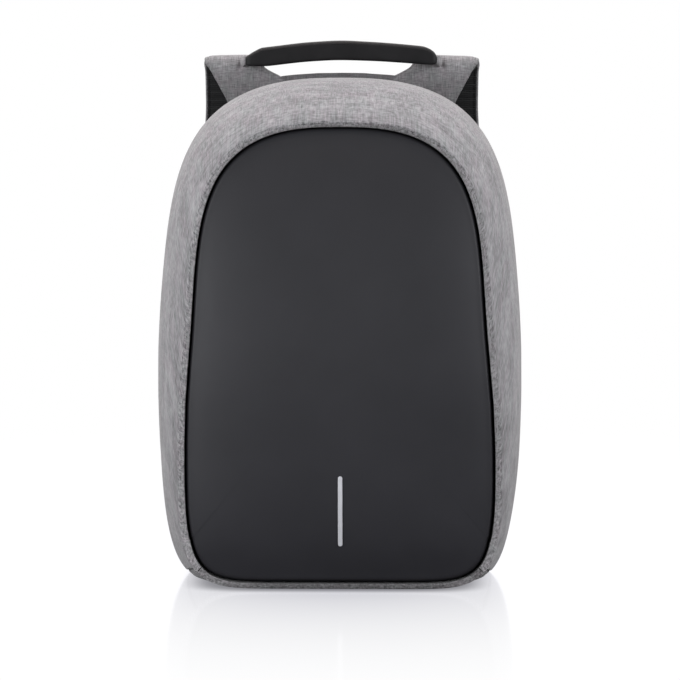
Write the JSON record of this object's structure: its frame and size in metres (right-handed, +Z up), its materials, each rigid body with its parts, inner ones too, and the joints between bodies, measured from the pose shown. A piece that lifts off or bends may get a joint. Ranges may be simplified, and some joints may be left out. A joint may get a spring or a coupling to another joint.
{
  "type": "anti theft backpack",
  "caption": "Upright laptop backpack with a domed black front panel set in a padded grey shell, padded top handle, folded shoulder straps and a hidden zip at the back.",
  "frame": {"origin": "on the floor under the middle of the bag's overall box", "axes": "+Z up along the height, -Y out of the front panel, +X towards the wearer's right when worn"},
  "size_m": [0.2996, 0.1832, 0.443],
  "materials": {
    "heather_fabric": "fine two-tone heather weave",
    "panel_fabric": "smooth matte coated cloth",
    "reflective": "satin light grey reflective film",
    "mesh_fabric": "ribbed air mesh",
    "zip_tape": "woven tape with a closed coil",
    "grip_cover": "soft matte padded cover",
    "webbing": "woven webbing",
    "plastic": "moulded, fine grain"
  },
  "bodies": {
    "root": {"shell": "heather_fabric", "front_panel": "panel_fabric", "reflective_strip": "reflective", "back_panel": "mesh_fabric", "zip_band": "zip_tape", "yoke": "heather_fabric", "handle_grip": "grip_cover", "handle_band": "heather_fabric", "strap_left": "heather_fabric", "strap_right": "heather_fabric", "strap_mesh_left": "mesh_fabric", "strap_mesh_right": "mesh_fabric", "strap_loop_left": "webbing", "strap_loop_right": "webbing", "adjuster_left": "plastic", "adjuster_right": "plastic", "webbing_left": "webbing", "webbing_right": "webbing", "zip_pull_left": "plastic", "zip_pull_right": "plastic"}
  },
  "joints": []
}
